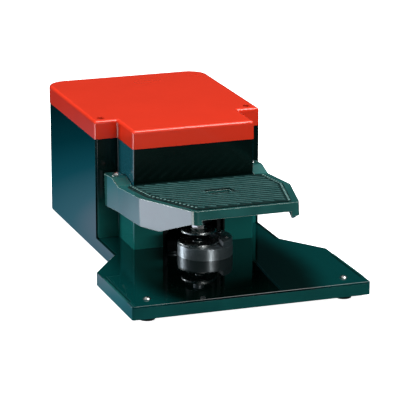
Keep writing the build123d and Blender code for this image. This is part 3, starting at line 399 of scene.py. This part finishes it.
# ---------------------------------------------------------------- tread
def top_outline(node):
    """Corner points of the top face of a CAD node, outer loop first, then its window."""
    shape = bmesh.new()
    shape.from_mesh(nodes[node].data)
    bmesh.ops.remove_doubles(shape, verts=shape.verts, dist=1e-6)
    shape.normal_update()
    top = {face for face in shape.faces if face.normal.z > 0.9}
    rim = [edge for edge in shape.edges if sum(face in top for face in edge.link_faces) == 1]
    loops = []
    while rim:
        edge = rim.pop()
        first, point = edge.verts
        loop = [first.co.copy(), point.co.copy()]
        while True:
            following = next((e for e in rim if point in e.verts), None)
            if following is None:
                break
            rim.remove(following)
            point = following.other_vert(point)
            loop.append(point.co.copy())
        loops.append(loop[:-1] if (loop[-1] - loop[0]).length < 1e-6 else loop)
    shape.free()
    return sorted(loops, key=len, reverse=True)


outline, window = top_outline("tread_pad")
front_edge = min(outline, key=lambda p: p.y)
back_edge = max(outline, key=lambda p: p.y)
SLOPE = (front_edge.z - back_edge.z) / (front_edge.y - back_edge.y)
ACROSS = Vector((1, 0, 0))
ALONG = Vector((0, 1, SLOPE)).normalized()
UP = ACROSS.cross(ALONG)


def on_pad(x, y, rise=0.0):
    """Point of the sloping tread surface over x, y."""
    return Vector((x, y, back_edge.z + (y - back_edge.y) * SLOPE)) + UP * rise


def inset(points, margin_of):
    """Convex outline moved inwards; margin_of gives each side's margin from its outward direction."""
    centre = sum(points, Vector()) / len(points)
    lines = []
    for a, b in zip(points, points[1:] + points[:1]):
        if (b - a).length < SHORT_SIDE:
            continue
        outward = Vector((b.y - a.y, a.x - b.x)).normalized()
        if outward.dot(Vector((centre.x - a.x, centre.y - a.y))) > 0:
            outward.negate()
        lines.append((outward, outward.dot(Vector((a.x, a.y))) - margin_of(outward)))
    corners = []
    for (n, c), (m, d) in zip(lines, lines[1:] + lines[:1]):
        cross = n.x * m.y - n.y * m.x
        corners.append(Vector(((c * m.y - d * n.y) / cross, (n.x * d - m.x * c) / cross)))
    return corners


def spans(corners, start, direction):
    """Stretches of the line start + t * direction that lie inside the outline."""
    hits = []
    for a, b in zip(corners, corners[1:] + corners[:1]):
        side = b - a
        cross = direction.x * side.y - direction.y * side.x
        if abs(cross) < 1e-9:
            continue
        gap = a - start
        along_side = (gap.x * direction.y - gap.y * direction.x) / cross
        if 0 <= along_side < 1:
            hits.append((gap.x * side.y - gap.y * side.x) / cross)
    hits.sort()
    return list(zip(hits[::2], hits[1::2]))


def bar(mesh, start, end, width, height):
    """Raised bar on the pad from start to end, with sloping flanks and a narrow crest."""
    direction = (end - start).normalized()
    side = Vector((-direction.y, direction.x))
    rows = []
    for place, inward in ((start, 1), (end, -1)):
        for share, rise in ((-1, -SINK), (-CREST_SHARE, height), (CREST_SHARE, height), (1, -SINK)):
            foot = place + side * share * width / 2
            if rise > 0:
                foot = foot + direction * inward * width * END_SHARE
            rows.append(mesh.verts.new(on_pad(foot.x, foot.y, rise)))
    a, b = rows[:4], rows[4:]
    for quad in ((a[0], a[1], b[1], b[0]), (a[1], a[2], b[2], b[1]), (a[2], a[3], b[3], b[2]),
                 (a[3], a[0], b[0], b[3]), a[::-1], b):
        mesh.faces.new(quad)


def pip(mesh, place, radius, height):
    """Raised domed dot on the pad."""
    rings = []
    for share, rise in ((1.0, -SINK), (0.9, height * 0.5), (0.55, height * 0.9)):
        reach = radius * share
        rings.append([
            mesh.verts.new(on_pad(place.x + reach * math.cos(turn), place.y + reach * math.sin(turn), rise))
            for turn in (k * math.tau / PIP_SIDES for k in range(PIP_SIDES))
        ])
    for low, high in zip(rings, rings[1:]):
        for k in range(PIP_SIDES):
            mesh.faces.new((low[k], low[(k + 1) % PIP_SIDES], high[(k + 1) % PIP_SIDES], high[k]))
    mesh.faces.new(rings[-1])
    mesh.faces.new(rings[0][::-1])


def tread_piece(name, mesh, material):
    data = bpy.data.meshes.new(name)
    bmesh.ops.recalc_face_normals(mesh, faces=mesh.faces)
    mesh.to_mesh(data)
    mesh.free()
    data.materials.append(material)
    obj = add_object(name, data)
    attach(obj, "plate")


def ridge_margin(outward):
    if abs(outward.y) > abs(outward.x):
        return RIDGE_MARGIN_END
    return RIDGE_MARGIN_LEFT if outward.x < 0 else RIDGE_MARGIN_RIGHT


field = inset(outline, ridge_margin)
left, right = min(p.x for p in window) - FRAME_GAP, max(p.x for p in window) + FRAME_GAP
front, back = min(p.y for p in window) - FRAME_GAP, max(p.y for p in window) + FRAME_GAP
window_frame = [Vector(corner) for corner in ((left, front), (right, front), (right, back), (left, back))]

ridges = bmesh.new()
middle = Vector((0, (front_edge.y + back_edge.y) / 2))
run = Vector((math.cos(RIDGE_TURN), math.sin(RIDGE_TURN)))
step = Vector((-run.y, run.x))
for k in range(-RIDGE_COUNT, RIDGE_COUNT + 1):
    start = middle + step * (k * RIDGE_PITCH)
    for low, high in spans(field, start, run):
        holes = spans(window_frame, start, run)
        cuts = [(low, holes[0][0]), (holes[0][1], high)] if holes else [(low, high)]
        for t0, t1 in cuts:
            if t1 - t0 > 2 * RIDGE_WIDTH:
                bar(ridges, start + run * t0, start + run * t1, RIDGE_WIDTH, RIDGE_HEIGHT)
tread_piece("tread_ridges", ridges, ridge)

pip_mesh = bmesh.new()
row = inset(outline, lambda outward: ridge_margin(outward) - ROW_GAP)
for a, b in zip(row, row[1:] + row[:1]):
    if abs(b.x - a.x) > abs(b.y - a.y):
        continue
    count = max(1, round((b - a).length / PIP_PITCH))
    for k in range(count):
        pip(pip_mesh, a + (b - a) * (k / count), PIP_RADIUS, PIP_HEIGHT)
tread_piece("tread_pips", pip_mesh, pips)

border = bmesh.new()
for a, b in zip(window_frame, window_frame[1:] + window_frame[:1]):
    bar(border, a, b, FRAME_WIDTH, RIDGE_HEIGHT)
tread_piece("tread_window_frame", border, ridge)


# ---------------------------------------------------------------- return spring
def coil_spring(name, low, high, wire_r, turns, closed):
    """Compression spring in the box low..high, with its end coils wound closed."""
    shape = bmesh.new()
    middle, radius = (low + high) / 2, (high.x - low.x) / 2 - wire_r
    bottom, height = low.z + wire_r, high.z - low.z - 2 * wire_r
    closed_rise = 2 * wire_r * closed
    rings = []
    for k in range(round(turns * COIL_STEPS) + 1):
        turned_by = k / COIL_STEPS
        if turned_by < closed:
            rise = 2 * wire_r * turned_by
        elif turned_by > turns - closed:
            rise = height - 2 * wire_r * (turns - turned_by)
        else:
            share = (turned_by - closed) / (turns - 2 * closed)
            rise = closed_rise + share * (height - 2 * closed_rise)
        angle = turned_by * math.tau
        outward = Vector((math.cos(angle), math.sin(angle), 0))
        centre = Vector((middle.x, middle.y, bottom + rise)) + outward * radius
        rings.append([
            shape.verts.new(centre + (outward * math.cos(t) + Vector((0, 0, 1)) * math.sin(t)) * wire_r)
            for t in (n * math.tau / WIRE_SIDES for n in range(WIRE_SIDES))
        ])
    for low_ring, high_ring in zip(rings, rings[1:]):
        for n in range(WIRE_SIDES):
            following = (n + 1) % WIRE_SIDES
            shape.faces.new((low_ring[n], low_ring[following], high_ring[following], high_ring[n]))
    shape.faces.new(rings[0])
    shape.faces.new(rings[-1][::-1])
    bmesh.ops.recalc_face_normals(shape, faces=shape.faces)
    for face in shape.faces:
        face.smooth = len(face.verts) == 4
    data = bpy.data.meshes.new(name)
    shape.to_mesh(data)
    shape.free()
    data.materials.append(wire)
    return add_object(name, data)


spring_low, spring_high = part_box("return_spring")
spring = coil_spring("compression_spring", spring_low, spring_high, SPRING_WIRE_R, SPRING_TURNS,
                     SPRING_CLOSED)
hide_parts("return_spring")
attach(spring, "frame")
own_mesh(spring)


# ---------------------------------------------------------------- stage
def ramp_colours(tree, source, reach, stops):
    """Colour ramp over source from 0 to reach; each stop is (distance, colour)."""
    share = tree.nodes.new("ShaderNodeMath")
    share.operation = "DIVIDE"
    share.use_clamp = True
    tree.links.new(source, share.inputs[0])
    share.inputs[1].default_value = reach
    ramp = tree.nodes.new("ShaderNodeValToRGB")
    tree.links.new(share.outputs[0], ramp.inputs[0])
    while len(ramp.color_ramp.elements) < len(stops):
        ramp.color_ramp.elements.new(0.5)
    for element, (distance, colour) in zip(ramp.color_ramp.elements, stops):
        element.position = distance / reach
        element.color = (*colour, 1.0)
    return ramp.outputs["Color"]


def emission(name, strength, colour_of):
    material = bpy.data.materials.new(name)
    material.use_nodes = True
    tree = material.node_tree
    tree.nodes.clear()
    output = tree.nodes.new("ShaderNodeOutputMaterial")
    shader = tree.nodes.new("ShaderNodeEmission")
    shader.inputs["Strength"].default_value = strength
    tree.links.new(shader.outputs[0], output.inputs["Surface"])
    tree.links.new(colour_of(tree), shader.inputs["Color"])
    return material


def plain_emission(name, strength):
    material = bpy.data.materials.new(name)
    material.use_nodes = True
    shader = material.node_tree.nodes["Principled BSDF"]
    shader.inputs["Emission Color"].default_value = (1, 1, 1, 1)
    shader.inputs["Emission Strength"].default_value = strength
    return material


def stage_piece(name, mesh, material):
    mesh.materials.append(material)
    obj = add_object(name, mesh)
    return obj


def level(name, left, right, front, back, height, material):
    """Level rectangle."""
    mesh = bpy.data.meshes.new(name)
    corners = [(left, front, height), (right, front, height), (right, back, height), (left, back, height)]
    mesh.from_pydata(corners, [], [(0, 1, 2, 3)])
    return stage_piece(name, mesh, material)


def square(name, half, height, material):
    return level(name, -half, half, -half, half, height, material)


def dome(name, radius, material):
    mesh = bpy.data.meshes.new(name)
    shape = bmesh.new()
    bmesh.ops.create_uvsphere(shape, u_segments=DOME_SEGMENTS, v_segments=DOME_RINGS, radius=radius)
    shape.to_mesh(mesh)
    shape.free()
    return stage_piece(name, mesh, material)


def only_mirrored(obj):
    """Shows obj in gloss reflections alone."""
    obj.visible_camera = obj.visible_diffuse = obj.visible_shadow = obj.visible_transmission = False


floor_surface = Surface("floor", Roughness=0.9, Specular_IOR_Level=0.1, Emission_Strength=FLOOR_GLOW)
floor_surface.shader.inputs["Emission Color"].default_value = (1, 1, 1, 1)
tone = floor_surface.ramp(floor_surface.noise(900, 2), 0.3, 0.7)
floor_surface.colour(floor_surface.mix(tone, *FLOOR_TONES))
floor = square("floor", FLOOR_HALF, 0, floor_surface.material)
floor.visible_glossy = floor.visible_diffuse = False

backdrop = dome("backdrop", BACKDROP_RADIUS, plain_emission("backdrop", BACKDROP_STRENGTH))
backdrop.visible_diffuse = backdrop.visible_glossy = False
backdrop.visible_shadow = backdrop.visible_transmission = False


def pool_colour(tree):
    """Bright pool on the ground to the left, fading to dark, as the gloss paint mirrors it."""
    place = tree.nodes.new("ShaderNodeTexCoord").outputs["Object"]
    away = tree.nodes.new("ShaderNodeVectorMath")
    away.operation = "DISTANCE"
    tree.links.new(place, away.inputs[0])
    away.inputs[1].default_value = POOL_CENTRE
    return ramp_colours(tree, away.outputs["Value"], POOL_REACH, POOL_STOPS)


def sky_colour(tree):
    """Dim studio walls by height, for the metals and the gloss paint."""
    place = tree.nodes.new("ShaderNodeTexCoord").outputs["Object"]
    split = tree.nodes.new("ShaderNodeSeparateXYZ")
    tree.links.new(place, split.inputs[0])
    return ramp_colours(tree, split.outputs["Z"], SKY_RADIUS, SKY_STOPS)


pool_glow = emission("floor_pool", POOL_STRENGTH, pool_colour)
only_mirrored(square("floor_pool", POOL_HALF, POOL_HEIGHT, pool_glow))
card_glow = plain_emission("corner_card", CARD_STRENGTH)
only_mirrored(level("corner_card", CARD_LEFT, CARD_RIGHT, CARD_FRONT, CARD_BACK, CARD_HEIGHT, card_glow))
only_mirrored(dome("sky", SKY_RADIUS, emission("sky", SKY_STRENGTH, sky_colour)))


def aim(obj, place, direction):
    """Stands a lamp or camera at place, looking along direction."""
    obj.matrix_world = Matrix.Translation(place) @ direction.to_track_quat("-Z", "Y").to_matrix().to_4x4()


def lamp(name, place, target, size, power, colour, lights_matte, mirrored):
    data = bpy.data.lights.new(name, "AREA")
    data.shape = "RECTANGLE"
    data.size, data.size_y = size
    data.energy = power
    data.color = colour
    obj = add_object(name, data)
    aim(obj, place, Vector(target) - Vector(place))
    obj.visible_camera = False
    obj.visible_diffuse = lights_matte
    obj.visible_glossy = mirrored


for settings in LAMPS:
    lamp(*settings)

world = bpy.data.worlds.new("studio")
bpy.context.scene.world = world
world.use_nodes = True
background = world.node_tree.nodes["Background"]
background.inputs["Color"].default_value = (1, 1, 1, 1)
background.inputs["Strength"].default_value = WORLD_STRENGTH
world.cycles_visibility.glossy = False


# ---------------------------------------------------------------- camera
camera_data = bpy.data.cameras.new("camera")
camera_data.sensor_width = SENSOR_MM
camera_data.lens = LENS_MM
camera_data.clip_end = CLIP_END
camera = add_object("camera", camera_data)
look = Vector((math.sin(CAMERA_YAW), math.cos(CAMERA_YAW), 0)) * math.cos(CAMERA_PITCH)
look.z = -math.sin(CAMERA_PITCH)
aim(camera, CAMERA_PLACE, look)
bpy.context.scene.camera = camera
bpy.context.scene.view_settings.view_transform = "Standard"
